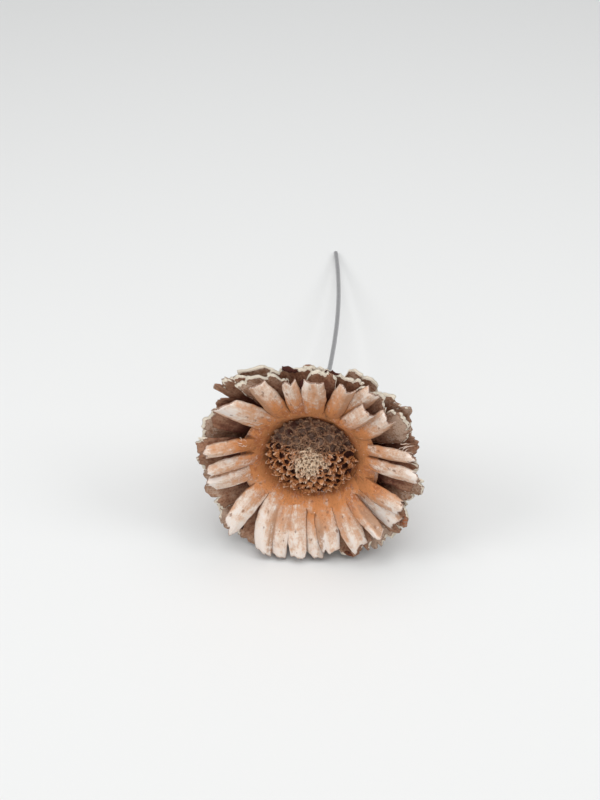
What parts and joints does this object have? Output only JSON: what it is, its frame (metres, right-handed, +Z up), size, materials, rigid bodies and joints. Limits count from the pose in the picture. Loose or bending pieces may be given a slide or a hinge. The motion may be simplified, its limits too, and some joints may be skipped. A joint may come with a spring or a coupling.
{
  "type": "dried protea flower head on a wire stem",
  "caption": "Dried, lime-washed protea flower head for arrangements, open like a daisy, on a plain wire stem, lying on its rim.",
  "frame": {"origin": "on the surface that the flower lies on, under the middle of its bounding box", "axes": "+Z up; the face of the flower looks towards -Y, turned a little to -X and a little up; the wire stem runs back towards +Y, the longest extent"},
  "size_m": [0.0821, 0.1869, 0.0779],
  "materials": {
    "receptacle": "dry, fibrous brown seed base with whitewashed scale points",
    "inner_bracts": "dry, hard bracts, orange tan near the dome and whitewashed towards the tips, satin",
    "outer_bracts": "dry mauve-brown bracts with pale torn rims and a thin whitewash, matt",
    "wire": "plain galvanised wire, matt grey"
  },
  "bodies": {
    "root": {"receptacle": "receptacle", "inner_bracts": "inner_bracts", "outer_bracts": "outer_bracts", "wire_stem": "wire"}
  },
  "joints": []
}
